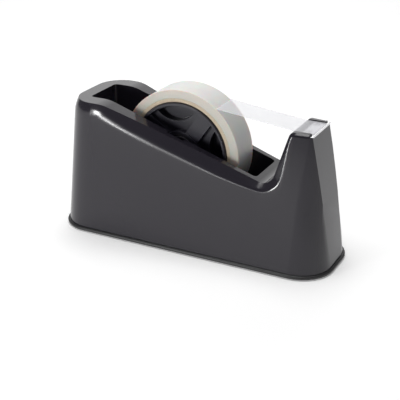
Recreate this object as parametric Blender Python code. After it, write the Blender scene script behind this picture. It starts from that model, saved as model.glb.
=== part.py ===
"""A weighted desktop tape dispenser, as an assembly of separate solids.

Frame: +X runs from the rear to the cutting tower, +Y across, +Z up. The origin is under the middle of the
base, on the surface that the dispenser stands on. The tape reel turns about a line along Y.
Run it with: blender --background --python part.py
"""
import math

import bmesh
import bpy
from mathutils import Matrix, Vector

mm = 0.001
GAP = 0.3 * mm                       # between pieces that touch

# Driving sizes of the body
HALF_LENGTH = 111.3 * mm             # of the foot lip
HALF_WIDTH = 35.8 * mm
FOOT_RADIUS = 25.6 * mm              # the lip's corners, in plan
LIP_INSET = 1.8 * mm                 # how far the lip stands out past the body
PAD_PROUD = 0.8 * mm                 # the foam pad lifts the lip off the table
LIP_TOP = 3.4 * mm
BODY_BOTTOM = LIP_TOP + GAP
WALL = 2.4 * mm

# Side view of the body: a level rear deck, a straight slope, a round saddle and the tower
DECK_Z = 105.3 * mm
DECK_END_X = -67.5 * mm
SLOPE = math.radians(18.3)
TOWER_LEAN = math.radians(16.4)      # of the tower's rear face, from upright
TOWER_REAR_X = 76.9 * mm             # at the top of that face
TOWER_TOP_Z = 103.6 * mm
SADDLE_RADIUS = 9.0 * mm
TOWER_CORNER_RADIUS = 3.8 * mm
DECK_BEND_RADIUS = 30.0 * mm
FOOT_FAN_START_X = 60.0 * mm         # the columns under the tower's rear face spread out
FOOT_FAN_END_X = 80.0 * mm           # from here to here, to reach the foot evenly
FOOT_FAN = 1.125

# The walls lean: sizes at the foot, and how much they change per unit of height
REAR_LEAN = 0.115
FRONT_LEAN = 0.171
FRONT_BOW = 1.2 * mm                 # how far the front stands out at mid height
REAR_NARROWING = 0.006
FRONT_NARROWING = 0.166
SIDE_CURVE = 1.25                    # 1 is a straight side in plan; more keeps the rear wide
TOP_REAR_RADIUS = 22.0 * mm

# The front corners: a crease ends them against the flat front, and fades out towards the foot.
# As (height, size) and (height, angle): how much of the half width they take, how far they turn.
FRONT_CORNER = (
    (3.7 * mm, 23.8 * mm),
    (28.0 * mm, 16.6 * mm),
    (48.0 * mm, 11.6 * mm),
    (66.0 * mm, 8.0 * mm),
    (78.0 * mm, 5.7 * mm),
    (91.0 * mm, 2.9 * mm),
    (101.8 * mm, 1.1 * mm),
)
FRONT_TURN = (
    (12.0 * mm, math.radians(90)),
    (34.0 * mm, math.radians(76)),
    (56.0 * mm, math.radians(62)),
    (90.0 * mm, math.radians(60)),
)
SIDE_END_FOOT_X = 85.7 * mm          # the line up the wall where the side's columns end
SIDE_END_TOP_X = 90.4 * mm
TOP_EDGE_DROP = 1.2 * mm             # the small edge round the front of the tower's top
TOP_EDGE_OVER = 0.8 * mm

# The shoulder between wall and deck, as (x, size): how far it reaches down, and in,
# and which share of it the bend into the wall takes, each way
SHOULDER_DROP = (
    (-88.0 * mm, 8.6 * mm),
    (-70.0 * mm, 8.4 * mm),
    (-64.0 * mm, 9.2 * mm),
    (-50.0 * mm, 10.6 * mm),
    (-28.0 * mm, 10.8 * mm),
    (13.0 * mm, 9.6 * mm),
    (29.0 * mm, 8.6 * mm),
    (44.0 * mm, 7.0 * mm),
    (58.0 * mm, 5.0 * mm),
    (68.0 * mm, 6.0 * mm),
    (74.5 * mm, 2.4 * mm),
)
SHOULDER_OVER = (
    (-88.0 * mm, 2.2 * mm),
    (-70.0 * mm, 2.4 * mm),
    (-50.0 * mm, 3.8 * mm),
    (-30.0 * mm, 4.2 * mm),
    (58.0 * mm, 4.4 * mm),
    (68.0 * mm, 3.8 * mm),
    (74.5 * mm, 2.0 * mm),
    (80.0 * mm, 1.5 * mm),
)
SHOULDER_BEND = (
    (-66.0 * mm, 0.50),
    (-50.0 * mm, 0.32),
    (40.0 * mm, 0.28),
)
CAVITY_EDGE_DROP = 1.0 * mm          # inside the tower the cavity keeps a small plain edge
CAVITY_EDGE_OVER = 0.8 * mm
CAVITY_TIP_DROP = 0.3 * mm
CAVITY_TIP_OVER = 0.1 * mm

# The well that holds the reel
WELL_REAR_X = -84.5 * mm
WELL_FRONT_X = 52.3 * mm
WELL_HALF_WIDTH = 17.8 * mm
WELL_FLOOR_Z = 14.0 * mm
WELL_RADIUS = 3.0 * mm

# Tape and reel
AXLE_X = -11.2 * mm
AXLE_Z = 72.0 * mm
AXLE_RADIUS = 2.5 * mm
TAPE_WIDTH = 25.0 * mm
ROLL_RADIUS = 47.05 * mm
CORE_OUTER = 40.7 * mm
CORE_INNER = 38.1 * mm               # the usual large core, 76 mm across
WHEEL_RADIUS = CORE_INNER - GAP
WHEEL_HALF = 14.0 * mm
SMALL_CORE_RADIUS = 12.7 * mm        # the usual small core, 25.4 mm across
PEEL_ANGLE = math.radians(52.0)      # where the free tape leaves the roll
STRIP_THICKNESS = 0.3 * mm
STRIP_END_X = 92.2 * mm

# Axle slots in the well's side walls
SLOT_DEPTH = 3.0 * mm
SLOT_WIDTH = 13.6 * mm
BLOCK_TOP_Z = 83.2 * mm
SLOT_BOTTOM_Z = AXLE_Z - 5.3 * mm
SLOT_WALL = 2.7 * mm                 # left behind and beside each slot

# Solid parts of the tower: the wall behind it, from this height up, and its head
TOWER_WALL_REAR_X = 58.0 * mm
TOWER_WALL_FRONT_X = 79.0 * mm
TOWER_WALL_Z = 58.0 * mm
TOWER_HEAD_REAR_X = 62.0 * mm
TOWER_HEAD_Z = 88.4 * mm
ABOVE = 130.0 * mm                   # clear of the body, for cutters
BESIDE = 40.0 * mm

# Tower fittings
POCKET_HALF_WIDTH = 13.6 * mm
POCKET_REAR_X = 79.4 * mm
POCKET_FRONT_X = 89.8 * mm
POCKET_FLOOR_Z = 91.0 * mm
BLADE_Z = 101.9 * mm                 # underside of the steel
BLADE_THICKNESS = 0.6 * mm
BLADE_HALF_WIDTH = 17.2 * mm
BLADE_REAR_X = 83.2 * mm
BLADE_BAR_X = 91.4 * mm              # rear edge of the bar that crosses the cheeks
BLADE_ROOT_X = 92.7 * mm
BLADE_TIP_X = 94.0 * mm
BLADE_TEETH = 26
BLADE_SCREWS_Y = (-8.0 * mm, 8.0 * mm)
BLADE_SCREW_X = 86.4 * mm

# Base screws: two pairs beside the well and one at the front
BOSS_PLACES = (
    (-70.0 * mm, -24.3 * mm),
    (-70.0 * mm, 24.3 * mm),
    (46.0 * mm, -24.3 * mm),
    (46.0 * mm, 24.3 * mm),
    (99.0 * mm, 0.0),
)
BOSS_RADIUS = 4.6 * mm
BOSS_BOTTOM_Z = 7.0 * mm
BOSS_TOP_Z = 34.0 * mm
BOSS_HOLE_RADIUS = 1.75 * mm
BOSS_HOLE_TOP_Z = 22.0 * mm

# The foam pad under the foot, and the recess that it sits in
PAD_HALF_LENGTH = 92.0 * mm
PAD_HALF_WIDTH = 29.0 * mm
PAD_RADIUS = 19.0 * mm
PAD_THICKNESS = 1.3 * mm
PAD_ROOM = 1.0 * mm                  # round the pad
RIB_THICKNESS = 1.6 * mm             # the foot's locating rib
RIB_TOP_Z = 6.4 * mm

MATERIALS = {
    "black_gloss": ((0.035, 0.034, 0.038), 0.22, 0.0),
    "black_satin": ((0.030, 0.030, 0.032), 0.45, 0.0),
    "reel_plastic": ((0.020, 0.020, 0.026), 0.35, 0.0),
    "nylon": ((0.55, 0.54, 0.50), 0.5, 0.0),
    "steel": ((0.62, 0.62, 0.63), 0.25, 1.0),
    "cast_iron": ((0.10, 0.10, 0.10), 0.75, 0.8),
    "foam": ((0.04, 0.04, 0.04), 0.95, 0.0),
    "card": ((0.62, 0.52, 0.40), 0.85, 0.0),
    "tape": ((0.86, 0.87, 0.84), 0.22, 0.0),
}


# ---------------------------------------------------------------- helpers

def clear_scene():
    for old in list(bpy.data.objects):
        bpy.data.objects.remove(old)


def material(name):
    made = bpy.data.materials.get(name)
    if made:
        return made
    colour, roughness, metallic = MATERIALS[name]
    made = bpy.data.materials.new(name)
    made.use_nodes = True
    shader = made.node_tree.nodes["Principled BSDF"]
    shader.inputs["Base Color"].default_value = (*colour, 1.0)
    shader.inputs["Roughness"].default_value = roughness
    shader.inputs["Metallic"].default_value = metallic
    made.diffuse_color = (*colour, 1.0)
    return made


def new_object(name, bm, slot=None, smooth=True):
    """An object made from bm, which it frees."""
    bmesh.ops.recalc_face_normals(bm, faces=bm.faces)
    mesh = bpy.data.meshes.new(name)
    bm.to_mesh(mesh)
    bm.free()
    if smooth:
        mesh.shade_smooth()
        mesh.set_sharp_from_angle(angle=math.radians(32))
    made = bpy.data.objects.new(name, mesh)
    bpy.context.scene.collection.objects.link(made)
    if slot:
        mesh.materials.append(material(slot))
    return made


def tool(name, bm):
    """A helper solid that a Boolean reads. It isn't a piece of the object."""
    made = new_object(name, bm, smooth=False)
    made.hide_render = True
    made.display_type = "WIRE"
    return made


def combine(target, other, operation):
    step = target.modifiers.new(f"{operation.lower()} {other.name}", "BOOLEAN")
    step.operation = operation
    step.solver = "EXACT"
    step.object = other
    return target


def cut(target, *others):
    for other in others:
        combine(target, other, "DIFFERENCE")
    return target


def join(target, *others):
    for other in others:
        combine(target, other, "UNION")
    return target


def round_edges(target, width, segments=2, angle=40):
    step = target.modifiers.new("rounded edges", "BEVEL")
    step.width = width
    step.segments = segments
    step.limit_method = "ANGLE"
    step.angle_limit = math.radians(angle)
    return target


def prism(outline, low, high, axis="Z"):
    """A closed prism. The outline is a list of 2-D points: (x, y) along Z, or (x, z) along Y."""
    bm = bmesh.new()
    rings = []
    for level in (low, high):
        if axis == "Z":
            rings.append([bm.verts.new((a, b, level)) for a, b in outline])
        else:
            rings.append([bm.verts.new((a, level, b)) for a, b in outline])
    bm.faces.new(rings[0])
    bm.faces.new(rings[1])
    count = len(outline)
    for i in range(count):
        j = (i + 1) % count
        bm.faces.new((rings[0][i], rings[0][j], rings[1][j], rings[1][i]))
    return bm


def box(low, high):
    outline = [(low[0], low[1]), (high[0], low[1]), (high[0], high[1]), (low[0], high[1])]
    return prism(outline, low[2], high[2])


def rounded_outline(x0, x1, half_width, radius, steps):
    """A rectangle with round corners, from x0 to x1 and across the middle line."""
    points = []
    corners = (
        (x1 - radius, radius - half_width, -90),
        (x1 - radius, half_width - radius, 0),
        (x0 + radius, half_width - radius, 90),
        (x0 + radius, radius - half_width, 180),
    )
    for cx, cy, start in corners:
        for i in range(steps + 1):
            turn = math.radians(start + 90 * i / steps)
            points.append((cx + radius * math.cos(turn), cy + radius * math.sin(turn)))
    return points


def turned(profile, steps, centre, axis="Y"):
    """A turned solid. The profile is a closed list of (radius, place along the axis)."""
    bm = bmesh.new()
    rings = []
    for i in range(steps):
        turn = 2 * math.pi * i / steps
        side, up = math.cos(turn), math.sin(turn)
        ring = []
        for radius, along in profile:
            if axis == "Y":
                offset = Vector((radius * side, along, radius * up))
            else:
                offset = Vector((radius * side, radius * up, along))
            ring.append(bm.verts.new(Vector(centre) + offset))
        rings.append(ring)
    for i in range(steps):
        this, following = rings[i], rings[(i + 1) % steps]
        for k in range(len(profile)):
            m = (k + 1) % len(profile)
            if profile[k][0] > 0 or profile[m][0] > 0:
                bm.faces.new((this[k], this[m], following[m], following[k]))
    bmesh.ops.remove_doubles(bm, verts=bm.verts, dist=1e-7)
    return bm


def cylinder(radius, low, high, centre, steps=24, axis="Y"):
    return turned([(0, low), (radius, low), (radius, high), (0, high)], steps, centre, axis)


# ---------------------------------------------------------------- the body's shape

def arc(centre, radius, start, end, steps):
    """Points on a round stretch, with the angles in radians, both ends included."""
    return [
        (
            centre[0] + radius * math.cos(start + (end - start) * i / steps),
            centre[1] + radius * math.sin(start + (end - start) * i / steps),
        )
        for i in range(steps + 1)
    ]


def stretch(a, b, count):
    """Points strictly between a and b."""
    return [
        (a[0] + (b[0] - a[0]) * i / (count + 1), a[1] + (b[1] - a[1]) * i / (count + 1))
        for i in range(1, count + 1)
    ]


def between(pairs, x):
    """Reads a size off a list of (x, size), with a straight run from each to the next."""
    if x <= pairs[0][0]:
        return pairs[0][1]
    for (x0, size0), (x1, size1) in zip(pairs, pairs[1:]):
        if x <= x1:
            share = (x - x0) / (x1 - x0)
            return size0 + (size1 - size0) * share
    return pairs[-1][1]


def lean_of_slope(x):
    return DECK_Z - (x - DECK_END_X) * math.tan(SLOPE)


def side_profile(inset):
    """The body's upper edge in the side view, rear to front, as (x, z, normal x, normal z).

    inset moves it into the material, which gives the underside of the deck.
    """
    # Deck and slope meet in a long gentle bend
    bend_length = DECK_BEND_RADIUS * math.tan(SLOPE / 2)
    bend_centre = (DECK_END_X - bend_length, DECK_Z - DECK_BEND_RADIUS)
    bend_radius = DECK_BEND_RADIUS - inset
    bend = arc(bend_centre, bend_radius, math.pi / 2, math.pi / 2 - SLOPE, 3)
    # The saddle is tangent to the slope and to the tower's rear face
    up_slope = Vector((math.sin(SLOPE), math.cos(SLOPE)))
    out_tower = Vector((-math.cos(TOWER_LEAN), math.sin(TOWER_LEAN)))
    on_slope = Vector((0.0, lean_of_slope(0.0)))
    on_tower = Vector((TOWER_REAR_X, TOWER_TOP_Z))
    # centre c with (c - on_slope).up_slope = r and (c - on_tower).out_tower = r
    rows = Matrix((up_slope, out_tower))
    sides = Vector(
        (SADDLE_RADIUS + on_slope.dot(up_slope), SADDLE_RADIUS + on_tower.dot(out_tower))
    )
    saddle_centre = rows.inverted() @ sides
    saddle_radius = SADDLE_RADIUS + inset
    saddle_start = math.atan2(-up_slope.y, -up_slope.x)
    saddle_end = math.atan2(-out_tower.y, -out_tower.x)
    saddle = arc(saddle_centre, saddle_radius, saddle_start, saddle_end, 8)
    # The tower's rear face turns over a small corner on to its top
    corner_out = out_tower + Vector((0.0, 1.0))
    corner_gap = TOWER_CORNER_RADIUS / (1 + out_tower.y)
    corner_centre = on_tower - corner_out * corner_gap
    corner_radius = TOWER_CORNER_RADIUS - inset
    corner_start = math.atan2(out_tower.y, out_tower.x)
    corner = arc(corner_centre, corner_radius, corner_start, math.pi / 2, 4)
    level = TOWER_TOP_Z - inset
    parts = [
        (bend, bend_centre, 1),
        (stretch(bend[-1], saddle[0], 11), None, 0),
        (saddle, saddle_centre, -1),
        (stretch(saddle[-1], corner[0], 5), None, 0),
        (corner, corner_centre, 1),
    ]
    points = []
    for part, centre, sign in parts:
        for x, z in part:
            if centre is None:
                normal = up_slope if x < saddle_centre[0] else out_tower
            else:
                normal = (Vector((x, z)) - Vector(centre[:2])).normalized() * sign
            points.append((x, z, normal.x, normal.y))
    return points, level


class Body:
    """The outside of the body, or the same shape taken inwards by inset."""

    def __init__(self, inset, bottom):
        self.inset = inset
        self.bottom = bottom

    def sizes(self, z):
        """Rear x, front x, rear and front half width, rear radius and front corner, at height z."""
        up = z - BODY_BOTTOM
        share = min(max(up / (TOWER_TOP_Z - BODY_BOTTOM), 0.0), 1.0)
        foot_radius = FOOT_RADIUS - LIP_INSET
        half = HALF_WIDTH - LIP_INSET
        bow = FRONT_BOW * 4 * share * (1 - share)
        return (
            -(HALF_LENGTH - LIP_INSET) + REAR_LEAN * up + self.inset,
            (HALF_LENGTH - LIP_INSET) - FRONT_LEAN * up + bow - self.inset,
            half - REAR_NARROWING * up - self.inset,
            half - FRONT_NARROWING * up - self.inset,
            foot_radius + (TOP_REAR_RADIUS - foot_radius) * share - self.inset * 0.9,
            max(between(FRONT_CORNER, z) - self.inset * 0.9, 0.2 * mm),
        )

    def side_end(self, z):
        """Where the side's columns end: a straight line up the wall, at or past the corner's start."""
        share = (z - BODY_BOTTOM) / (TOWER_TOP_Z - BODY_BOTTOM)
        return SIDE_END_FOOT_X + (SIDE_END_TOP_X - SIDE_END_FOOT_X) * share - self.inset

    def front_corner(self, z):
        """The front corner's radius, where it leaves the side, and its first and last turn."""
        front, corner = self.sizes(z)[1], self.sizes(z)[5]
        last_turn = between(FRONT_TURN, z)
        radius = corner / (1 - math.cos(last_turn))
        end = front - radius * math.sin(last_turn)
        past = min(max((self.side_end(z) - end) / radius, 0.0), 0.95 * math.sin(last_turn))
        return radius, end, math.asin(past), last_turn

    def corner_turn(self, u, z):
        """How far round the front corner this u, from 2 to 3, is."""
        _, _, first_turn, last_turn = self.front_corner(z)
        return first_turn + (last_turn - first_turn) * (u - 2)

    def point(self, u, z):
        """The near wall: u is 0 to 1 round the rear corner, to 2 along the side, to 3 round the front."""
        rear, _, rear_half, front_half, rear_r, _ = self.sizes(z)
        front_r, end, _, _ = self.front_corner(z)
        start = rear + rear_r
        if u <= 1:
            turn = math.pi / 2 * u
            x = start - rear_r * math.cos(turn)
            y = -(rear_half - rear_r) - rear_r * math.sin(turn)
        elif u <= 2:
            x = start + (self.side_end(z) - start) * (u - 1)
            if x > end:
                y = -(front_half - front_r) - math.sqrt(front_r**2 - (x - end) ** 2)
            else:
                share = (x - start) / (end - start)
                y = -(rear_half + (front_half - rear_half) * share**SIDE_CURVE)
        else:
            turn = self.corner_turn(u, z)
            x = end + front_r * math.sin(turn)
            y = -(front_half - front_r) - front_r * math.cos(turn)
        return Vector((x, y, z))

    def u_at(self, x, z):
        """The place round the wall that has this x at this height."""
        low, high = 0.0, 3.0
        for _ in range(40):
            middle = (low + high) / 2
            if self.point(middle, z).x < x:
                low = middle
            else:
                high = middle
        return (low + high) / 2

    def edge(self):
        """The body's upper edge on the near side: (u, z, x or None, normal, drop, over, bend)."""
        profile, level = side_profile(self.inset)
        deck = DECK_Z - self.inset
        rows = []
        for i in range(9):
            rows.append((i / 8, deck, None, (0.0, 1.0)))
        start = self.point(1.0, deck).x
        for x, z in stretch((start, deck), profile[0][:2], 2):
            rows.append((self.u_at(x, z), z, x, (0.0, 1.0)))
        for x, z, nx, nz in profile:
            rows.append((self.u_at(x, z), z, x, (nx, nz)))
        top_end = self.point(2.0, level).x
        for x, z in stretch((profile[-1][0], level), (top_end, level), 2):
            rows.append((self.u_at(x, z), z, x, (0.0, 1.0)))
        for i in range(7):
            rows.append((2 + i / 6, level, None, (0.0, 1.0)))
        return [(*row, *self.shoulder(row[0], row[1])) for row in rows]

    def shoulder(self, u, z):
        """How far the shoulder reaches down the wall and in over the deck, and its bend's share."""
        x = self.point(u, z).x
        bend = between(SHOULDER_BEND, x)
        if u > 2 and self.inset:
            return CAVITY_TIP_DROP, CAVITY_TIP_OVER, bend
        if u > 2:
            return TOP_EDGE_DROP, TOP_EDGE_OVER, bend
        if u < 1:
            return SHOULDER_DROP[0][1], SHOULDER_OVER[0][1], bend
        if self.inset and x > TOWER_WALL_REAR_X:
            return CAVITY_EDGE_DROP, CAVITY_EDGE_OVER, bend
        return between(SHOULDER_DROP, x), between(SHOULDER_OVER, x), bend

    def wall_below(self, u, z, x, normal, distance):
        """The place on the wall, and its u, that lies this far below the body's edge."""
        low_z = z - distance * normal[1]
        low_u = u
        if x is not None and abs(normal[0]) > 0.01:
            low_u = self.u_at(x - distance * normal[0], low_z)
        return low_u, low_z

    def columns(self, wall_rows, bend_rows):
        """For each place round the near wall, the points from the foot up to the deck's edge.

        The wall bends over a small radius into the shoulder, which is flat and ends in a crisp edge.
        """
        made = []
        for u, z, x, normal, drop, over, bend in self.edge():
            if u < 1:
                turn = math.pi / 2 * u
                inward = Vector((math.cos(turn), math.sin(turn), 0))
            elif u > 2:
                turn = self.corner_turn(u, z)
                inward = Vector((-math.sin(turn), math.cos(turn), 0))
            else:
                inward = Vector((0, 1, 0))
            top = self.point(u, z) + inward * over
            low_u, low_z = self.wall_below(u, z, x, normal, drop * (1 + bend / 2))
            foot_u = self.foot_u(u, x)
            points = []
            for k in range(wall_rows + 1):
                share = k / wall_rows
                points.append(
                    self.point(
                        foot_u + (low_u - foot_u) * share,
                        self.bottom + (low_z - self.bottom) * share,
                    )
                )
            start = points[-1]
            knee = self.point(*self.wall_below(u, z, x, normal, drop * (1 - bend / 2)))
            end = knee + (top - knee) * bend
            for k in range(1, bend_rows + 1):
                t = k / bend_rows
                points.append(start * (1 - t) ** 2 + knee * 2 * t * (1 - t) + end * t * t)
            points.append(top)
            made.append(points)
        return made

    def foot_u(self, u, x):
        """Where a column meets the foot. Columns of the tower's rear face fan out to the front."""
        if x is None:
            return u
        fan_end = FOOT_FAN_START_X + (FOOT_FAN_END_X - FOOT_FAN_START_X) * FOOT_FAN
        if x > FOOT_FAN_END_X:
            share = (x - FOOT_FAN_END_X) / (self.point(2.0, TOWER_TOP_Z).x - FOOT_FAN_END_X)
            foot_end = self.point(2.0, self.bottom).x
            x = fan_end + (foot_end - fan_end) * min(share, 0.95)
        elif x > FOOT_FAN_START_X:
            x = FOOT_FAN_START_X + (x - FOOT_FAN_START_X) * FOOT_FAN
        return self.u_at(x, self.bottom)

    def solid(self, wall_rows=6, bend_rows=3):
        near = self.columns(wall_rows, bend_rows)
        bm = bmesh.new()
        sides = []
        for sign in (1, -1):
            sides.append(
                [[bm.verts.new((p.x, p.y * sign, p.z)) for p in column] for column in near]
            )
        for side in sides:
            for left, right in zip(side, side[1:]):
                for k in range(len(left) - 1):
                    bm.faces.new((left[k], right[k], right[k + 1], left[k + 1]))
        near_side, far_side = sides
        for end in (0, -1):                       # the flat rear and front
            for k in range(len(near[0]) - 1):
                bm.faces.new(
                    (near_side[end][k], near_side[end][k + 1], far_side[end][k + 1], far_side[end][k])
                )
        for k in (0, -1):                         # underneath, then the deck and the tower's top
            for i in range(len(near) - 1):
                bm.faces.new(
                    (near_side[i][k], near_side[i + 1][k], far_side[i + 1][k], far_side[i][k])
                )
        return bm


# ---------------------------------------------------------------- housing and base

def well_outline(grow):
    return rounded_outline(
        WELL_REAR_X - grow, WELL_FRONT_X + grow, WELL_HALF_WIDTH + grow, WELL_RADIUS + grow, 3
    )


def make_housing():
    """One moulding: outer wall, deck, tower, and the well that hangs inside, open underneath."""
    shell = new_object("housing_shell", Body(0.0, BODY_BOTTOM).solid(), "black_gloss")
    cavity = tool("cavity_tool", Body(WALL, BODY_BOTTOM - 3 * mm).solid(wall_rows=4, bend_rows=2))
    well_wall = prism(well_outline(WALL - 0.2 * mm), WELL_FLOOR_Z - WALL, ABOVE)
    cut(cavity, tool("well_wall_tool", well_wall))
    wall_low = (TOWER_WALL_REAR_X - 2 * mm, -BESIDE, TOWER_WALL_Z)
    cut(cavity, tool("tower_rear_tool", box(wall_low, (TOWER_WALL_FRONT_X, BESIDE, ABOVE))))
    head_low = (TOWER_HEAD_REAR_X, -BESIDE, TOWER_HEAD_Z)
    cut(cavity, tool("tower_head_tool", box(head_low, (HALF_LENGTH, BESIDE, ABOVE))))
    slot_half = SLOT_WIDTH / 2 + SLOT_WALL
    for name, sign in (("near", -1), ("far", 1)):
        inner = (WELL_HALF_WIDTH + 1.2 * mm) * sign
        outer = (WELL_HALF_WIDTH + SLOT_DEPTH + SLOT_WALL) * sign
        low = (AXLE_X - slot_half, min(inner, outer), SLOT_BOTTOM_Z - 2 * SLOT_WALL)
        high = (AXLE_X + slot_half, max(inner, outer), ABOVE)
        cut(cavity, tool(f"slot_wall_{name}_tool", box(low, high)))
    for i, (x, y) in enumerate(BOSS_PLACES):
        boss = cylinder(BOSS_RADIUS, BOSS_BOTTOM_Z, BOSS_TOP_Z, (x, y, 0), 20, "Z")
        cut(cavity, tool(f"boss_{i + 1}_tool", boss))
    cut(shell, cavity)
    cut(shell, tool("well_tool", prism(well_outline(0.0), WELL_FLOOR_Z, ABOVE)))
    for name, sign in (("near", -1), ("far", 1)):
        inner = (WELL_HALF_WIDTH - 1 * mm) * sign
        outer = (WELL_HALF_WIDTH + SLOT_DEPTH) * sign
        low = (AXLE_X - SLOT_WIDTH / 2, min(inner, outer), SLOT_BOTTOM_Z)
        high = (AXLE_X + SLOT_WIDTH / 2, max(inner, outer), ABOVE)
        cut(shell, tool(f"slot_{name}_tool", box(low, high)))
    for i, (x, y) in enumerate(BOSS_PLACES):
        hole = cylinder(BOSS_HOLE_RADIUS, BOSS_BOTTOM_Z - 2 * mm, BOSS_HOLE_TOP_Z, (x, y, 0), 12, "Z")
        cut(shell, tool(f"boss_hole_{i + 1}_tool", hole))
    pocket_low = (POCKET_REAR_X, -POCKET_HALF_WIDTH, POCKET_FLOOR_Z)
    cut(shell, tool("pocket_tool", box(pocket_low, (POCKET_FRONT_X, POCKET_HALF_WIDTH, ABOVE))))
    gate_low = (TOWER_REAR_X - 8 * mm, -POCKET_HALF_WIDTH, BLADE_Z + GAP)
    gate_high = (POCKET_REAR_X + 3.6 * mm, POCKET_HALF_WIDTH, ABOVE)
    cut(shell, tool("tape_gate_tool", box(gate_low, gate_high)))
    landing_low = (POCKET_REAR_X + 2.6 * mm, -POCKET_HALF_WIDTH, BLADE_Z - GAP)
    landing_high = (HALF_LENGTH, POCKET_HALF_WIDTH, ABOVE)
    cut(shell, tool("landing_tool", box(landing_low, landing_high)))
    bar_low = (BLADE_BAR_X - GAP, -BESIDE, BLADE_Z - GAP)
    cut(shell, tool("blade_seat_tool", box(bar_low, (HALF_LENGTH, BESIDE, ABOVE))))
    return shell


def make_base():
    """The foot plate: a lip that stands out past the body, and a step that locates inside it."""
    lip = rounded_outline(-HALF_LENGTH, HALF_LENGTH, HALF_WIDTH, FOOT_RADIUS, 8)
    plate = new_object("base_plate", prism(lip, PAD_PROUD, LIP_TOP), "black_satin")
    round_edges(plate, 0.9 * mm, 2, 60)
    inner = LIP_INSET + WALL + 1.2 * mm
    step = rounded_outline(
        -HALF_LENGTH + inner, HALF_LENGTH - inner, HALF_WIDTH - inner, FOOT_RADIUS - inner, 8
    )
    inside = inner + RIB_THICKNESS
    hollow = rounded_outline(
        -HALF_LENGTH + inside, HALF_LENGTH - inside, HALF_WIDTH - inside, FOOT_RADIUS - inside, 8
    )
    rib = tool("locating_rib_tool", prism(step, LIP_TOP - 0.5 * mm, RIB_TOP_Z))
    cut(rib, tool("locating_hollow_tool", prism(hollow, LIP_TOP - 2 * mm, 8 * mm)))
    join(plate, rib)
    for i, (x, y) in enumerate(BOSS_PLACES):
        stand = cylinder(BOSS_RADIUS, LIP_TOP - 0.4 * mm, BOSS_BOTTOM_Z - GAP, (x, y, 0), 20, "Z")
        join(plate, tool(f"stand_{i + 1}_tool", stand))
    room_length = PAD_HALF_LENGTH + PAD_ROOM
    pad_room = rounded_outline(
        -room_length, room_length, PAD_HALF_WIDTH + PAD_ROOM, PAD_RADIUS + PAD_ROOM, 6
    )
    cut(plate, tool("pad_room_tool", prism(pad_room, -1 * mm, PAD_THICKNESS + GAP)))
    for i, (x, y) in enumerate(BOSS_PLACES):
        head = cylinder(3.5 * mm, 0.0, 4.2 * mm, (x, y, 0), 16, "Z")
        shank = cylinder(1.8 * mm, 3.0 * mm, 9.0 * mm, (x, y, 0), 16, "Z")
        cut(plate, tool(f"head_room_{i + 1}_tool", head), tool(f"shank_room_{i + 1}_tool", shank))
    pad = rounded_outline(-PAD_HALF_LENGTH, PAD_HALF_LENGTH, PAD_HALF_WIDTH, PAD_RADIUS, 8)
    new_object("non_slip_pad", prism(pad, 0.0, PAD_THICKNESS), "foam")
    return plate


def make_base_screws():
    """Self-tapping screws that go up through the plate into the housing's bosses."""
    profile = [
        (0, 1.9 * mm),
        (3.1 * mm, 1.9 * mm),
        (3.1 * mm, 3.3 * mm),
        (2.5 * mm, 3.9 * mm),
        (1.45 * mm, 3.9 * mm),
        (1.45 * mm, 15.0 * mm),
        (0, 17.0 * mm),
    ]
    for i, (x, y) in enumerate(BOSS_PLACES):
        name = f"base_screw_{i + 1}"
        screw = new_object(name, turned(profile, 16, (x, y, 0), "Z"), "steel")
        arm, width, depth = 1.9 * mm, 0.45 * mm, 2.7 * mm
        along = box((x - arm, y - width, 0.0), (x + arm, y + width, depth))
        across = box((x - width, y - arm, 0.0), (x + width, y + arm, depth))
        cut(screw, tool(f"{name}_slot_a_tool", along), tool(f"{name}_slot_b_tool", across))


def make_ballast():
    """Cast weights that fill the housing's hollow and keep the dispenser still."""
    floor = LIP_TOP + GAP + 0.3 * mm
    blocks = {
        "ballast_front": ((56.5 * mm, -22 * mm, floor), (90 * mm, 22 * mm, 44 * mm)),
        "ballast_rear": ((-95.5 * mm, -15 * mm, floor), (-88.2 * mm, 15 * mm, 80 * mm)),
        "ballast_near": ((-62 * mm, -26.0 * mm, floor), (39 * mm, -20.8 * mm, 45 * mm)),
        "ballast_far": ((-62 * mm, 20.8 * mm, floor), (39 * mm, 26.0 * mm, 45 * mm)),
    }
    for name, (low, high) in blocks.items():
        round_edges(new_object(name, box(low, high), "cast_iron"), 1.2 * mm, 1)


# ---------------------------------------------------------------- cutting tower

def make_blade_holder():
    """A clip-in block between the tower's cheeks, ribbed on top so that the tape peels off easily."""
    half = POCKET_HALF_WIDTH - GAP
    rear, front = POCKET_REAR_X + GAP, POCKET_FRONT_X - GAP
    low, high = POCKET_FLOOR_Z + GAP, BLADE_Z - GAP
    holder = new_object("blade_holder", box((rear, -half, low), (front, half, high)), "black_satin")
    for i in range(3):
        x = rear + (0.6 + i) * mm
        groove = box((x, -20 * mm, high - 0.4 * mm), (x + 0.4 * mm, 20 * mm, high + 1 * mm))
        cut(holder, tool(f"landing_groove_{i + 1}_tool", groove))
    for i, y in enumerate(BLADE_SCREWS_Y):
        hole = cylinder(1.35 * mm, low + 1 * mm, high + 1 * mm, (BLADE_SCREW_X, y, 0), 12, "Z")
        cut(holder, tool(f"holder_hole_{i + 1}_tool", hole))
    return holder


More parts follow.
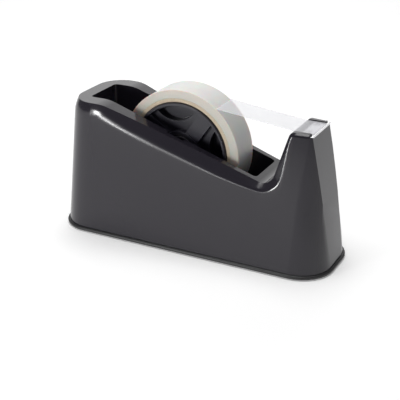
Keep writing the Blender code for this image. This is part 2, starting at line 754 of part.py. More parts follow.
def blade_outline():
    """Plan of the steel: a tang between the cheeks, a bar across them, and a row of teeth."""
    tang_half = POCKET_HALF_WIDTH - 0.5 * mm
    pitch = 2 * BLADE_HALF_WIDTH / BLADE_TEETH
    points = [
        (BLADE_REAR_X, tang_half),
        (BLADE_REAR_X, -tang_half),
        (BLADE_BAR_X, -tang_half),
        (BLADE_BAR_X, -BLADE_HALF_WIDTH),
    ]
    for i in range(BLADE_TEETH):
        y = -BLADE_HALF_WIDTH + i * pitch
        points.append((BLADE_ROOT_X, y))
        points.append((BLADE_TIP_X, y + pitch / 2))
    points.append((BLADE_ROOT_X, BLADE_HALF_WIDTH))
    points.append((BLADE_BAR_X, BLADE_HALF_WIDTH))
    points.append((BLADE_BAR_X, tang_half))
    return points


def make_blade():
    blade = new_object(
        "cutter_blade", prism(blade_outline(), BLADE_Z, BLADE_Z + BLADE_THICKNESS), "steel", smooth=False
    )
    for i, y in enumerate(BLADE_SCREWS_Y):
        hole = cylinder(2.35 * mm, BLADE_Z - 1 * mm, BLADE_Z + 2 * mm, (BLADE_SCREW_X, y, 0), 16, "Z")
        cut(blade, tool(f"blade_hole_{i + 1}_tool", hole))
    top = BLADE_Z + BLADE_THICKNESS
    profile = [
        (0, top - 6.5 * mm),
        (0.7 * mm, top - 6.0 * mm),
        (1.05 * mm, top - 5.2 * mm),
        (1.05 * mm, top - 1.2 * mm),
        (2.05 * mm, top - 0.3 * mm),
        (2.05 * mm, top - 0.05 * mm),
        (0, top - 0.05 * mm),
    ]
    for name, y in zip(("blade_screw_near", "blade_screw_far"), BLADE_SCREWS_Y):
        screw = new_object(name, turned(profile, 16, (BLADE_SCREW_X, y, 0), "Z"), "steel")
        slot = box(
            (BLADE_SCREW_X - 3 * mm, y - 0.25 * mm, top - 0.6 * mm),
            (BLADE_SCREW_X + 3 * mm, y + 0.25 * mm, top + 1 * mm),
        )
        cut(screw, tool(f"{name}_slot_tool", slot))
    sink_profile = [
        (0, top - 1.6 * mm),
        (1.35 * mm, top - 1.6 * mm),
        (2.5 * mm, top - 0.4 * mm),
        (2.5 * mm, top),
        (0, top),
    ]
    for i, y in enumerate(BLADE_SCREWS_Y):
        sink = turned(sink_profile, 16, (BLADE_SCREW_X, y, 0), "Z")
        cut(bpy.data.objects["blade_holder"], tool(f"sink_{i + 1}_tool", sink))
    return blade


# ---------------------------------------------------------------- reel

def make_axle():
    """A steel pin whose ends sit in nylon blocks. The blocks slide down the slots and can't turn."""
    reach = WELL_HALF_WIDTH + SLOT_DEPTH - 1.0 * mm
    profile = [
        (0, -reach),
        (AXLE_RADIUS - 0.5 * mm, -reach),
        (AXLE_RADIUS, -reach + 0.5 * mm),
        (AXLE_RADIUS, reach - 0.5 * mm),
        (AXLE_RADIUS - 0.5 * mm, reach),
        (0, reach),
    ]
    new_object("axle_pin", turned(profile, 24, (AXLE_X, 0, AXLE_Z)), "steel")
    half = SLOT_WIDTH / 2 - GAP
    for name, sign in (("near", -1), ("far", 1)):
        inner = (WELL_HALF_WIDTH + 0.2 * mm) * sign
        outer = (WELL_HALF_WIDTH + SLOT_DEPTH - GAP) * sign
        low = (AXLE_X - half, min(inner, outer), SLOT_BOTTOM_Z + GAP)
        high = (AXLE_X + half, max(inner, outer), BLOCK_TOP_Z)
        block = new_object(f"axle_block_{name}", box(low, high), "nylon")
        round_edges(block, 0.8 * mm, 2)
        hole = cylinder(AXLE_RADIUS + GAP, -40 * mm, 40 * mm, (AXLE_X, 0, AXLE_Z))
        cut(block, tool(f"block_hole_{name}_tool", hole))


def make_spindle():
    """The small-core hub: it turns on the pin, and takes narrow-core rolls by itself."""
    bore = AXLE_RADIUS + GAP
    half, nose = WHEEL_HALF - 0.6 * mm, 16.6 * mm
    inner, hub = 10.7 * mm, 5.2 * mm
    floor = 4.0 * mm
    profile = [
        (bore, -nose),
        (hub, -nose),
        (hub, -floor),
        (inner, -floor),
        (inner, -half),
        (SMALL_CORE_RADIUS - 0.6 * mm, -half),
        (SMALL_CORE_RADIUS, -half + 0.6 * mm),
        (SMALL_CORE_RADIUS, half - 0.6 * mm),
        (SMALL_CORE_RADIUS - 0.6 * mm, half),
        (inner, half),
        (inner, floor),
        (hub, floor),
        (hub, nose),
        (bore, nose),
    ]
    new_object("small_core_spindle", turned(profile, 40, (AXLE_X, 0, AXLE_Z)), "reel_plastic")


def leaf(angle, rim, reach, radius, steps):
    """The leaf between two round arcs: the wheel's rim, and a circle centred out past it."""
    centre = Vector((math.cos(angle), math.sin(angle))) * reach
    half = math.acos((rim**2 + reach**2 - radius**2) / (2 * rim * reach))
    points = arc((0, 0), rim, angle - half, angle + half, steps)
    inner_half = math.acos((radius**2 + reach**2 - rim**2) / (2 * radius * reach))
    back = angle + math.pi
    inner = arc(centre, radius, back - inner_half, back + inner_half, steps)
    return points + inner[1:-1]


def make_wheel_half(name, sign):
    """Half of the large-core wheel: rim, web, boss, four broad spokes and four leaf-shaped pockets."""
    bore = SMALL_CORE_RADIUS + GAP
    rim_inner, boss = 35.5 * mm, 16.0 * mm
    web, floor, split = 8.6 * mm, 2.6 * mm, 0.15 * mm
    profile = [
        (bore, sign * split),
        (WHEEL_RADIUS, sign * split),
        (WHEEL_RADIUS, sign * (WHEEL_HALF - 1.0 * mm)),
        (WHEEL_RADIUS - 0.7 * mm, sign * WHEEL_HALF),
        (rim_inner, sign * WHEEL_HALF),
        (rim_inner, sign * web),
        (boss, sign * web),
        (boss, sign * (WHEEL_HALF - 0.6 * mm)),
        (bore, sign * (WHEEL_HALF - 0.6 * mm)),
    ]
    centre = (AXLE_X, 0, AXLE_Z)
    wheel = new_object(name, turned(profile, 64, centre), "reel_plastic")
    for i in range(4):
        direction = math.radians(54 + 90 * i)
        outline = [
            (AXLE_X + x, AXLE_Z + z)
            for x, z in leaf(direction + math.pi / 4, 34.4 * mm, 42.6 * mm, 20 * mm, 10)
        ]
        pocket = tool(f"{name}_leaf_{i + 1}_tool", prism(outline, sign * floor, sign * 20 * mm, "Y"))
        cut(wheel, pocket)
    for i in range(4):
        direction = math.radians(54 + 90 * i)
        along = Vector((math.cos(direction), math.sin(direction)))
        across = Vector((-along.y, along.x)) * 5.7 * mm
        low, high = along * 14.5 * mm, along * 36.0 * mm
        corners = [low - across, high - across, high + across, low + across]
        outline = [(AXLE_X + p.x, AXLE_Z + p.y) for p in corners]
        spoke = tool(
            f"{name}_spoke_{i + 1}_tool", prism(outline, sign * (web - 1 * mm), sign * 12.4 * mm, "Y")
        )
        join(wheel, spoke)
    return wheel


def make_tape():
    """The roll on its card core, and the free strip from where it peels off to the blade."""
    half = TAPE_WIDTH / 2
    centre = (AXLE_X, 0, AXLE_Z)
    core = [(CORE_INNER, -half), (CORE_OUTER, -half), (CORE_OUTER, half), (CORE_INNER, half)]
    new_object("tape_core", turned(core, 72, centre), "card")
    inner = CORE_OUTER + GAP
    winding = [(inner, -half), (ROLL_RADIUS, -half), (ROLL_RADIUS, half), (inner, half)]
    new_object("tape_winding", turned(winding, 72, centre), "tape")
    reach = ROLL_RADIUS + GAP + 0.1 * mm
    peel = Vector((AXLE_X + reach * math.cos(PEEL_ANGLE), AXLE_Z + reach * math.sin(PEEL_ANGLE)))
    landing = BLADE_Z + BLADE_THICKNESS + GAP
    route = [peel, Vector((TOWER_REAR_X, landing)), Vector((STRIP_END_X, landing))]
    lift = Vector((0, STRIP_THICKNESS))
    outline = [(p.x, p.y) for p in route] + [(p.x, p.y) for p in reversed([q + lift for q in route])]
    new_object("tape_strip", prism(outline, -half, half, "Y"), "tape", smooth=False)


def main():
    clear_scene()
    make_housing()
    make_base()
    make_base_screws()
    make_ballast()
    make_blade_holder()
    make_blade()
    make_axle()
    make_spindle()
    make_wheel_half("large_core_wheel_near", -1)
    make_wheel_half("large_core_wheel_far", 1)
    make_tape()


main()
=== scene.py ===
# %% [markdown]
# # A weighted tape dispenser
# The body is one black moulding with a deep well. A reel with a roll of clear tape drops into the well,
# and the tape runs forward to a toothed steel blade on the front tower. Every size comes from the packed
# frame, so a piece that is made here sits exactly where the frame says.

# %% Load the frame
import math

import bmesh
import bpy
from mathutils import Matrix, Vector


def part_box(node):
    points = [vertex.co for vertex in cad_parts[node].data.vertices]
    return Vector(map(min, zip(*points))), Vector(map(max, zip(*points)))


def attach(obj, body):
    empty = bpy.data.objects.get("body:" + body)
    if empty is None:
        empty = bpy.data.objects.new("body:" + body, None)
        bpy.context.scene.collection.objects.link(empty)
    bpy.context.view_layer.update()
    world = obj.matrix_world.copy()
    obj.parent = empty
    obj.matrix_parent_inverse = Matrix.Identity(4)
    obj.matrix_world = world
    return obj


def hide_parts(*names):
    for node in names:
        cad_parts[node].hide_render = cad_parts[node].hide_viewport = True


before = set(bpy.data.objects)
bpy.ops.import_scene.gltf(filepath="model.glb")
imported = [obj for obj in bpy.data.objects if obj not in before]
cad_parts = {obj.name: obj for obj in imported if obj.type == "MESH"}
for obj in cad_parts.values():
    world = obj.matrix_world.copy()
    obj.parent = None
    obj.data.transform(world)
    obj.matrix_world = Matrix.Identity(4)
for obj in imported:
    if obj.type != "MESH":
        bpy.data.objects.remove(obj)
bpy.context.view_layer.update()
mm = 0.001

# %% [markdown]
# ## Small helpers
# An operator works on whatever is selected, and loading leaves everything selected. These helpers make the
# selection plain before each step.


# %% Selecting and finishing
MERGE_DISTANCE = 0.004 * mm
FLAT_ANGLE = math.radians(0.3)
MOULDED_EDGE = math.radians(50)
SMOOTH_BELOW = math.radians(34)


def nothing_selected():
    if bpy.context.mode != "OBJECT":
        bpy.ops.object.mode_set(mode="OBJECT")
    bpy.ops.object.select_all(action="DESELECT")


def select_only(piece):
    nothing_selected()
    piece.select_set(True)
    bpy.context.view_layer.objects.active = piece


def settle(piece):
    """Writes the piece's place into its mesh, so that its object sits at the origin."""
    select_only(piece)
    bpy.ops.object.transform_apply(location=True, rotation=True, scale=True)


def soften(piece, width, segments=2):
    """Rounds the sharp edges, as a mould or a press leaves them."""
    select_only(piece)
    step = piece.modifiers.new("rounded edges", "BEVEL")
    step.width = width
    step.segments = segments
    step.limit_method = "ANGLE"
    step.angle_limit = MOULDED_EDGE
    step.harden_normals = False
    bpy.ops.object.modifier_apply(modifier=step.name)
    bpy.ops.object.shade_smooth_by_angle(angle=SMOOTH_BELOW)


def even_normals(piece):
    """Lets the large flat faces decide the shading, so that it doesn't smear over them."""
    select_only(piece)
    step = piece.modifiers.new("even shading", "WEIGHTED_NORMAL")
    step.keep_sharp = True
    bpy.ops.object.modifier_apply(modifier=step.name)


def copy_of(node, name):
    """A closed copy of a frame node. The node's own triangles are loose, so the copy is merged."""
    piece = bpy.data.objects.new(name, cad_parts[node].data.copy())
    bpy.context.scene.collection.objects.link(piece)
    select_only(piece)
    bpy.ops.object.mode_set(mode="EDIT")
    bpy.ops.mesh.select_all(action="SELECT")
    bpy.ops.mesh.remove_doubles(threshold=MERGE_DISTANCE)
    bpy.ops.mesh.dissolve_limited(angle_limit=FLAT_ANGLE)
    bpy.ops.object.mode_set(mode="OBJECT")
    return piece


def finish_piece(piece, material, body, slot, *nodes):
    """Gives the piece its finish, parents it to the body that it moves with, and hides the frame nodes that
    it stands for.
    """
    piece.data.materials.clear()
    piece.data.materials.append(material)
    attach(piece, body)
    if nodes:
        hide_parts(*nodes)
    print(piece.name, len(piece.data.polygons), "faces, rides on", body)


# %% [markdown]
# ## Camera
# A long lens from above and to the right of the near side keeps the long body's edges almost parallel.

# %% Camera
AZIMUTH = math.radians(27.03)
ELEVATION = math.radians(24.16)
DISTANCE = 0.7398
AIM = Vector((-0.0014, 0.0, 0.0299))

back = Vector(
    (
        math.sin(AZIMUTH) * math.cos(ELEVATION),
        -math.cos(AZIMUTH) * math.cos(ELEVATION),
        math.sin(ELEVATION),
    )
)
lens = bpy.data.cameras.new("camera")
lens.sensor_width = 36
lens.lens = 87.4
lens.clip_start = 0.01
camera = bpy.data.objects.new("camera", lens)
bpy.context.scene.collection.objects.link(camera)
camera.location = AIM + back * DISTANCE
camera.rotation_euler = back.to_track_quat("Z", "Y").to_euler()
bpy.context.scene.camera = camera

# %% [markdown]
# ## Floor and light
# Black plastic shows what it reflects more than its own colour. The floor is pale, so the walls pick up
# a soft grey. A wide card of light behind lifts the level deck. A low card on the near left stands where
# the bend of the shoulder mirrors it, which draws the bright line there. Two weaker cards carry the line
# on towards the saddle. The room itself stays dim, which keeps the shoulder dark above that line.


# %% Floor
def plain_material(name, colour, roughness):
    made = bpy.data.materials.new(name)
    made.use_nodes = True
    shader = made.node_tree.nodes["Principled BSDF"]
    shader.inputs["Base Color"].default_value = (*colour, 1.0)
    shader.inputs["Roughness"].default_value = roughness
    return made


nothing_selected()
bpy.ops.mesh.primitive_plane_add(size=6.0, location=(0, 0, 0))
floor = bpy.context.active_object
floor.name = "floor"
pale_floor = plain_material("pale_floor", (0.93, 0.93, 0.93), 0.85)
floor_shader = pale_floor.node_tree.nodes["Principled BSDF"]
floor_shader.inputs["Emission Color"].default_value = (1, 1, 1, 1)
floor_shader.inputs["Emission Strength"].default_value = 0.22
floor.data.materials.append(pale_floor)
settle(floor)


# %% Lights
def soft_light(name, place, aim, width, height, power):
    data = bpy.data.lights.new(name, "AREA")
    data.shape = "RECTANGLE"
    data.size = width
    data.size_y = height
    data.energy = power
    lamp = bpy.data.objects.new(name, data)
    bpy.context.scene.collection.objects.link(lamp)
    lamp.location = place
    lamp.rotation_euler = (Vector(place) - Vector(aim)).to_track_quat("Z", "Y").to_euler()


def side_card(name, along, up, width, height, power):
    """An upright card on the near side that faces the body squarely."""
    soft_light(name, (along, CARDS_Y, up), (along, 0, up), width, height, power)


world = bpy.data.worlds.new("room")
world.use_nodes = True
world.node_tree.nodes["Background"].inputs["Color"].default_value = (1.0, 1.0, 1.0, 1.0)
world.node_tree.nodes["Background"].inputs["Strength"].default_value = 0.16
bpy.context.scene.world = world
bpy.context.scene.view_settings.view_transform = "Standard"

MIDDLE = (0.0, 0.0, 0.05)
CARDS_Y = -0.90
soft_light("overhead", (-0.15, 0.05, 1.60), MIDDLE, 1.4, 1.0, 20)
soft_light("back_card", (-0.75, 1.5, 0.75), MIDDLE, 1.8, 1.0, 6.5)
side_card("shoulder_line", -0.395, 0.115, 0.13, 0.22, 4.2)
side_card("saddle_line", -0.25, 0.07, 0.14, 0.10, 0.16)
side_card("saddle_spot", -0.165, 0.07, 0.025, 0.10, 0.12)

# %% [markdown]
# ## Shared surface effects
# Moulded plastic is never quite even. A fine grain comes from the spark-eroded mould, slow waves from the
# way it cooled, and a little dust settles on faces that look up. Each effect is one node group that puts
# out a value.


# %% Node groups
def new_group(name, inputs, outputs):
    group = bpy.data.node_groups.new(name, "ShaderNodeTree")
    for label, value in inputs:
        socket = group.interface.new_socket(label, in_out="INPUT", socket_type="NodeSocketFloat")
        socket.default_value = value
    for label in outputs:
        group.interface.new_socket(label, in_out="OUTPUT", socket_type="NodeSocketFloat")
    return group, group.nodes.new("NodeGroupInput"), group.nodes.new("NodeGroupOutput")


def math_node(tree, operation, first, second, clamp=False):
    node = tree.nodes.new("ShaderNodeMath")
    node.operation = operation
    node.use_clamp = clamp
    for socket, value in zip(node.inputs, (first, second)):
        if isinstance(value, (int, float)):
            socket.default_value = value
        else:
            tree.links.new(value, socket)
    return node.outputs[0]


def noise_node(tree, scale, detail, place):
    node = tree.nodes.new("ShaderNodeTexNoise")
    node.inputs["Detail"].default_value = detail
    tree.links.new(place, node.inputs["Vector"])
    if isinstance(scale, (int, float)):
        node.inputs["Scale"].default_value = scale
    else:
        tree.links.new(scale, node.inputs["Scale"])
    return node.outputs["Fac"]


def object_place(tree):
    return tree.nodes.new("ShaderNodeTexCoord").outputs["Object"]


def make_grain_group():
    """Height: spark-eroded grain over slow waves, both in object space."""
    group, given, result = new_group(
        "mould_grain", [("Grain Scale", 2600.0), ("Grain", 1.0), ("Waves", 1.0)], ["Height"]
    )
    place = object_place(group)
    speckle = noise_node(group, given.outputs["Grain Scale"], 3, place)
    fine = math_node(group, "MULTIPLY", speckle, given.outputs["Grain"])
    slow = math_node(group, "MULTIPLY", noise_node(group, 28.0, 2, place), given.outputs["Waves"])
    group.links.new(math_node(group, "ADD", fine, slow), result.inputs["Height"])
    return group


def make_handling_group():
    """Value: a roughness that wanders where hands have polished or smudged the surface."""
    group, given, result = new_group(
        "handling", [("Base", 0.35), ("Spread", 0.12), ("Scale", 45.0)], ["Roughness"]
    )
    wander = noise_node(group, given.outputs["Scale"], 5, object_place(group))
    centred = math_node(group, "SUBTRACT", wander, 0.5)
    spread = math_node(group, "MULTIPLY", centred, given.outputs["Spread"])
    group.links.new(math_node(group, "ADD", given.outputs["Base"], spread, True), result.inputs["Roughness"])
    return group


def make_dust_group():
    """Mask: faint dust in patches, on faces that look up."""
    group, given, result = new_group("settled_dust", [("Amount", 0.1)], ["Mask"])
    normal = group.nodes.new("ShaderNodeNewGeometry").outputs["Normal"]
    split = group.nodes.new("ShaderNodeSeparateXYZ")
    group.links.new(normal, split.inputs[0])
    up = math_node(group, "MAXIMUM", split.outputs["Z"], 0.0)
    steep = math_node(group, "POWER", up, 4.0)
    specks = noise_node(group, 420.0, 6, object_place(group))
    patches = math_node(group, "MULTIPLY", steep, specks)
    mask = math_node(group, "MULTIPLY", patches, given.outputs["Amount"], True)
    group.links.new(mask, result.inputs["Mask"])
    return group


GRAIN = make_grain_group()
HANDLING = make_handling_group()
DUST = make_dust_group()


# %% [markdown]
# ## Finishes
# Each finish is a Principled shader. Its fixed numbers sit on its own sockets, and the groups feed what
# varies.


# %% Building a finish
def use_group(tree, group, **values):
    node = tree.nodes.new("ShaderNodeGroup")
    node.node_tree = group
    for label, value in values.items():
        node.inputs[label.replace("_", " ")].default_value = value
    return node


def mix_colour(tree, mask, first, second):
    node = tree.nodes.new("ShaderNodeMix")
    node.data_type = "RGBA"
    tree.links.new(mask, node.inputs["Factor"])
    for socket, value in ((node.inputs["A"], first), (node.inputs["B"], second)):
        if isinstance(value, tuple):
            socket.default_value = (*value, 1.0)
        else:
            tree.links.new(value, socket)
    return node.outputs["Result"]


def new_finish(name, colour, roughness, metallic=0.0, **sockets):
    made = plain_material(name, colour, roughness)
    made.diffuse_color = (*colour, 1.0)
    shader = made.node_tree.nodes["Principled BSDF"]
    shader.inputs["Metallic"].default_value = metallic
    for label, value in sockets.items():
        shader.inputs[label.replace("_", " ")].default_value = value
    return made, made.node_tree, shader


def bump(tree, shader, height, strength, distance):
    node = tree.nodes.new("ShaderNodeBump")
    node.inputs["Strength"].default_value = strength
    node.inputs["Distance"].default_value = distance
    tree.links.new(height, node.inputs["Height"])
    tree.links.new(node.outputs["Normal"], shader.inputs["Normal"])


def plastic(name, colour, roughness, grain, waves, dust, spread=0.10, **sockets):
    """A moulded plastic: grain and slow waves in its surface, hand marks and a little dust."""
    made, tree, shader = new_finish(name, colour, roughness, **sockets)
    marks = use_group(tree, HANDLING, Base=roughness, Spread=spread)
    tree.links.new(marks.outputs[0], shader.inputs["Roughness"])
    film = use_group(tree, DUST, Amount=dust)
    dusty = tuple(c * 0.8 + 0.07 for c in colour)
    tree.links.new(mix_colour(tree, film.outputs[0], colour, dusty), shader.inputs["Base Color"])
    relief = use_group(tree, GRAIN, Grain=grain, Waves=waves)
    bump(tree, shader, relief.outputs[0], 0.35, 0.06 * mm)
    return made


# %% Plastics
body_black = plastic("body_black", (0.0150, 0.0130, 0.0190), 0.16, 0.4, 1.2, 0.05, 0.05, IOR=1.5)
foot_black = plastic("foot_black", (0.014, 0.014, 0.015), 0.42, 0.8, 1.0, 0.15)
reel_black = plastic("reel_black", (0.014, 0.013, 0.021), 0.32, 0.4, 1.0, 0.05, IOR=1.42)
holder_black = plastic("holder_black", (0.015, 0.015, 0.016), 0.40, 0.8, 0.6, 0.1)
block_nylon = plastic("block_nylon", (0.50, 0.49, 0.45), 0.45, 0.7, 0.6, 0.1, Subsurface_Weight=0.1)


# %% [markdown]
# ### Steel and iron
# The blade is ground, so fine scratches run along it. The screws are plated, and the weights are rough
# castings.


# %% Metals
def metal(name, colour, roughness, stretch, depth):
    """Steel whose scratches run along one direction: the pattern is squeezed across it."""
    made, tree, shader = new_finish(name, colour, roughness, 1.0)
    mapping = tree.nodes.new("ShaderNodeMapping")
    mapping.inputs["Scale"].default_value = stretch
    tree.links.new(object_place(tree), mapping.inputs["Vector"])
    scratches = noise_node(tree, 900.0, 4, mapping.outputs[0])
    centred = math_node(tree, "SUBTRACT", scratches, 0.5)
    wander = math_node(tree, "MULTIPLY", centred, 0.35)
    tree.links.new(math_node(tree, "ADD", wander, roughness, True), shader.inputs["Roughness"])
    bump(tree, shader, scratches, 0.25, depth)
    return made


blade_steel = metal("blade_steel", (0.80, 0.80, 0.81), 0.20, (1.0, 0.06, 1.0), 0.02 * mm)
pin_steel = metal("pin_steel", (0.58, 0.58, 0.60), 0.26, (1.0, 1.0, 1.0), 0.02 * mm)
ballast_iron = metal("ballast_iron", (0.09, 0.085, 0.08), 0.75, (0.3, 0.3, 0.3), 0.3 * mm)


# %% [markdown]
# ### Foam, card and tape
# The foam pad is matt with open cells. The core is wound card, tan with paler fibres. A roll of clear tape
# turns white because light scatters between its many layers, so it gets some subsurface light. Its two ends
# show the cut edges of those layers and are a darker cream.


# %% Soft and wound finishes
def make_foam():
    made, tree, shader = new_finish("pad_foam", (0.03, 0.03, 0.032), 0.95)
    cells = tree.nodes.new("ShaderNodeTexVoronoi")
    cells.inputs["Scale"].default_value = 800.0
    tree.links.new(object_place(tree), cells.inputs["Vector"])
    tree.links.new(
        mix_colour(tree, cells.outputs["Distance"], (0.015, 0.015, 0.016), (0.05, 0.05, 0.052)),
        shader.inputs["Base Color"],
    )
    bump(tree, shader, cells.outputs["Distance"], 0.35, 0.2 * mm)
    return made


def radius_from_axle(tree):
    """Distance from the axle's line, in metres, which draws the windings of the roll."""
    mapping = tree.nodes.new("ShaderNodeMapping")
    mapping.inputs["Location"].default_value = (-AXLE.x, 0, -AXLE.z)
    mapping.inputs["Scale"].default_value = (1.0, 0.0, 1.0)
    tree.links.new(object_place(tree), mapping.inputs["Vector"])
    length = tree.nodes.new("ShaderNodeVectorMath")
    length.operation = "LENGTH"
    tree.links.new(mapping.outputs[0], length.inputs[0])
    return length.outputs["Value"]


def rings(tree, spacing, jitter):
    """A wave that repeats at every winding, pushed about a little so that it isn't even."""
    shake = math_node(tree, "MULTIPLY", noise_node(tree, 30.0, 2, object_place(tree)), jitter)
    radius = math_node(tree, "ADD", radius_from_axle(tree), shake)
    turn = math_node(tree, "MULTIPLY", radius, 2 * math.pi / spacing)
    wave = math_node(tree, "SINE", turn, 0.0)
    return math_node(tree, "MULTIPLY", math_node(tree, "ADD", wave, 1.0), 0.5)


def make_card():
    made, tree, shader = new_finish("core_card", (0.60, 0.50, 0.37), 0.85)
    mapping = tree.nodes.new("ShaderNodeMapping")
    mapping.inputs["Scale"].default_value = (1.0, 0.25, 1.0)
    tree.links.new(object_place(tree), mapping.inputs["Vector"])
    fibres = noise_node(tree, 700.0, 6, mapping.outputs[0])
    plies = rings(tree, 0.62 * mm, 0.3 * mm)
    base = mix_colour(tree, fibres, (0.46, 0.36, 0.25), (0.74, 0.65, 0.51))
    shade = math_node(tree, "MULTIPLY", plies, 0.30)
    tree.links.new(mix_colour(tree, shade, base, (0.30, 0.22, 0.14)), shader.inputs["Base Color"])
    bump(tree, shader, fibres, 0.5, 0.08 * mm)
    return made


def make_wound_tape():
    made, tree, shader = new_finish(
        "wound_tape", (0.88, 0.87, 0.83), 0.42, Subsurface_Weight=0.5, Subsurface_Scale=0.006
    )
    layers = rings(tree, 0.42 * mm, 0.25 * mm)
    haze = noise_node(tree, 60.0, 4, object_place(tree))
    tone = mix_colour(tree, haze, (0.76, 0.76, 0.73), (0.84, 0.84, 0.82))
    fade = math_node(tree, "MULTIPLY", layers, 0.12)
    outside = mix_colour(tree, fade, tone, (0.70, 0.69, 0.64))
    ends = mix_colour(tree, layers, (0.50, 0.47, 0.42), (0.60, 0.57, 0.52))
    split = tree.nodes.new("ShaderNodeSeparateXYZ")
    tree.links.new(tree.nodes.new("ShaderNodeNewGeometry").outputs["Normal"], split.inputs[0])
    facing_side = math_node(tree, "ABSOLUTE", split.outputs["Y"], 0.0, True)
    tree.links.new(mix_colour(tree, facing_side, outside, ends), shader.inputs["Base Color"])
    bump(tree, shader, layers, 0.25, 0.04 * mm)
    return made


def make_film():
    """The single layer of tape between the roll and the blade is almost clear."""
    made, tree, shader = new_finish("tape_film", (0.90, 0.90, 0.94), 0.30, Alpha=0.34, IOR=1.4)
    haze = noise_node(tree, 90.0, 3, object_place(tree))
    tone = mix_colour(tree, haze, (0.80, 0.80, 0.85), (0.92, 0.92, 0.95))
    tree.links.new(tone, shader.inputs["Base Color"])
    bump(tree, shader, haze, 0.15, 0.2 * mm)
    return made


pin_low, pin_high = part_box("axle_pin")
AXLE = (pin_low + pin_high) / 2
pad_foam = make_foam()
core_card = make_card()
wound_tape = make_wound_tape()
tape_film = make_film()

# %% [markdown]
# ## The body
# The housing is the largest surface, so its copy is merged, its mould edges get a small radius, and it is
# shaded smooth. The crease down each front corner is crisp at the top and fades out towards the foot, so
# its radius follows an edge weight that falls with height. The foot plate leaves a dark line below.


# %% Housing and foot
CREASE_TOP_Z = 0.085
CREASE_END_Z = 0.045
CREASE = math.radians(17)
FRONT_FACING = 0.97
FRONT_X = 0.085
UPRIGHT_RISE = 4 * mm
HOUSING_SMOOTH_BELOW = math.radians(24)


def weigh_edges(piece):
    """Full weight on sharp edges, and a weight that fades with height on the front's creases."""
    shape = bmesh.new()
    shape.from_mesh(piece.data)
    weight = shape.edges.layers.float.new("bevel_weight_edge")
    count = 0
    for edge in shape.edges:
        if len(edge.link_faces) != 2:
            continue
        turn = edge.calc_face_angle()
        middle = (edge.verts[0].co + edge.verts[1].co) / 2
        flat_front = max(face.normal.x for face in edge.link_faces) > FRONT_FACING
        upright = abs(edge.verts[0].co.z - edge.verts[1].co.z) > UPRIGHT_RISE
        if turn > MOULDED_EDGE:
            edge[weight] = 1.0
        elif turn > CREASE and flat_front and upright and middle.x > FRONT_X:
            share = (middle.z - CREASE_END_Z) / (CREASE_TOP_Z - CREASE_END_Z)
            edge[weight] = min(max(share, 0.0), 1.0)
            count += 1
    shape.to_mesh(piece.data)
    shape.free()
    print("crease edges:", count)


def soften_by_weight(piece, width, segments):
    select_only(piece)
    step = piece.modifiers.new("rounded edges", "BEVEL")
    step.width = width
    step.segments = segments
    step.limit_method = "WEIGHT"
    bpy.ops.object.modifier_apply(modifier=step.name)
    bpy.ops.object.shade_smooth_by_angle(angle=HOUSING_SMOOTH_BELOW)


housing = copy_of("housing_shell", "housing_moulding")
weigh_edges(housing)
soften_by_weight(housing, 0.45 * mm, 2)
even_normals(housing)
finish_piece(housing, body_black, "housing", "black_gloss", "housing_shell")

foot = copy_of("base_plate", "foot_plate")
soften(foot, 0.35 * mm)
finish_piece(foot, foot_black, "housing", "black_satin", "base_plate")

pad = copy_of("non_slip_pad", "foam_pad")
soften(pad, 0.3 * mm)
even_normals(pad)
finish_piece(pad, pad_foam, "housing", "foam", "non_slip_pad")

# %% [markdown]
# ## Pieces that keep their own shape
# Screws, weights, the pin and its blocks are mostly hidden, and their frame shapes are right. They get a
# finish.

# %% Carried-over nodes
KEPT = {pin_steel: ["axle_pin"], ballast_iron: [], block_nylon: ["axle_block_near", "axle_block_far"]}
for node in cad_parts:
    if "screw" in node:
        KEPT[pin_steel].append(node)
    if node.startswith("ballast"):
        KEPT[ballast_iron].append(node)
for finish, nodes in KEPT.items():
    for node in nodes:
        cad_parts[node].data.materials.clear()
        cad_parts[node].data.materials.append(finish)

# %% Cutter and its holder
blade = copy_of("cutter_blade", "toothed_blade")
soften(blade, 0.10 * mm, 1)
finish_piece(blade, blade_steel, "housing", "steel", "cutter_blade")

holder = copy_of("blade_holder", "landing_block")
soften(holder, 0.12 * mm, 1)
finish_piece(holder, holder_black, "housing", "black_satin", "blade_holder")

# %% Reel
for node, name in (
    ("large_core_wheel_near", "wheel_near"),
    ("large_core_wheel_far", "wheel_far"),
    ("small_core_spindle", "spindle"),
):
    part = copy_of(node, name)
    soften(part, 0.30 * mm)
    even_normals(part)
    finish_piece(part, reel_black, "reel", "reel_plastic", node)


# %% [markdown]
# ## The roll
# A roll is a turned shape. One closed outline is drawn at the top of the roll and spun about the axle.


# %% Spinning an outline
SEAM_DISTANCE = 0.003 * mm
SPIN_STEPS = 144


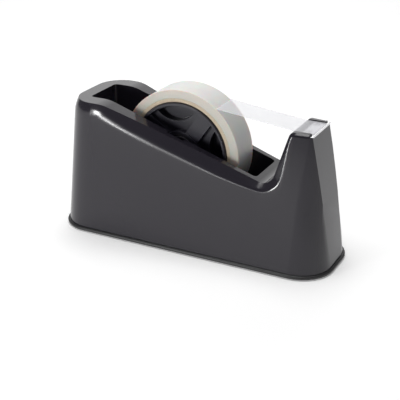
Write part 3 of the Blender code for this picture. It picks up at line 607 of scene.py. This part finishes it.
def spun(name, outline):
    """Spins a closed outline of (radius, place along Y) about the axle and closes the seam."""
    nothing_selected()
    bpy.ops.mesh.primitive_circle_add(vertices=len(outline), radius=1.0, location=(0, 0, 0))
    piece = bpy.context.active_object
    piece.name = name
    for vertex, (radius, along) in zip(piece.data.vertices, outline):
        vertex.co = (AXLE.x, along, AXLE.z + radius)
    bpy.ops.object.mode_set(mode="EDIT")
    bpy.ops.mesh.select_all(action="SELECT")
    bpy.ops.mesh.spin(
        steps=SPIN_STEPS, angle=2 * math.pi, center=AXLE, axis=(0, 1, 0), use_auto_merge=True
    )
    bpy.ops.mesh.select_all(action="SELECT")
    bpy.ops.mesh.remove_doubles(threshold=SEAM_DISTANCE)
    bpy.ops.mesh.normals_make_consistent(inside=False)
    bpy.ops.object.mode_set(mode="OBJECT")
    select_only(piece)
    bpy.ops.object.shade_smooth_by_angle(angle=SMOOTH_BELOW)
    return piece


def wound_outline(inner, outer, half, layers, wander):
    """Both flat sides step in and out a little, because no winding lies exactly on the one below."""
    near, far = [], []
    for i in range(layers + 1):
        radius = inner + (outer - inner) * i / layers
        offset = wander * (0.5 + 0.5 * math.sin(2.4 * i)) if 0 < i < layers else wander
        near.append((radius, offset - half))
        far.append((radius, half - offset))
    return near + far[::-1]


core_low, core_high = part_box("tape_core")
roll_low, roll_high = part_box("tape_winding")
core_outer = (core_high.x - core_low.x) / 2
roll_outer = (roll_high.x - roll_low.x) / 2
tape_half = roll_high.y
wheel_low, wheel_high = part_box("large_core_wheel_near")
core_inner = (wheel_high.x - wheel_low.x) / 2 + 0.3 * mm

core = spun("card_core", wound_outline(core_inner, core_outer, tape_half, 4, 0.10 * mm))
finish_piece(core, core_card, "reel", "card", "tape_core")
roll_outline = wound_outline(core_outer + 0.05 * mm, roll_outer, tape_half, 14, 0.14 * mm)
winding = spun("tape_roll", roll_outline)
finish_piece(winding, wound_tape, "reel", "tape", "tape_winding")

# %% Free strip
strip = copy_of("tape_strip", "free_strip")
finish_piece(strip, tape_film, "reel_carrier", "tape", "tape_strip")

# %% Leave nothing selected
nothing_selected()
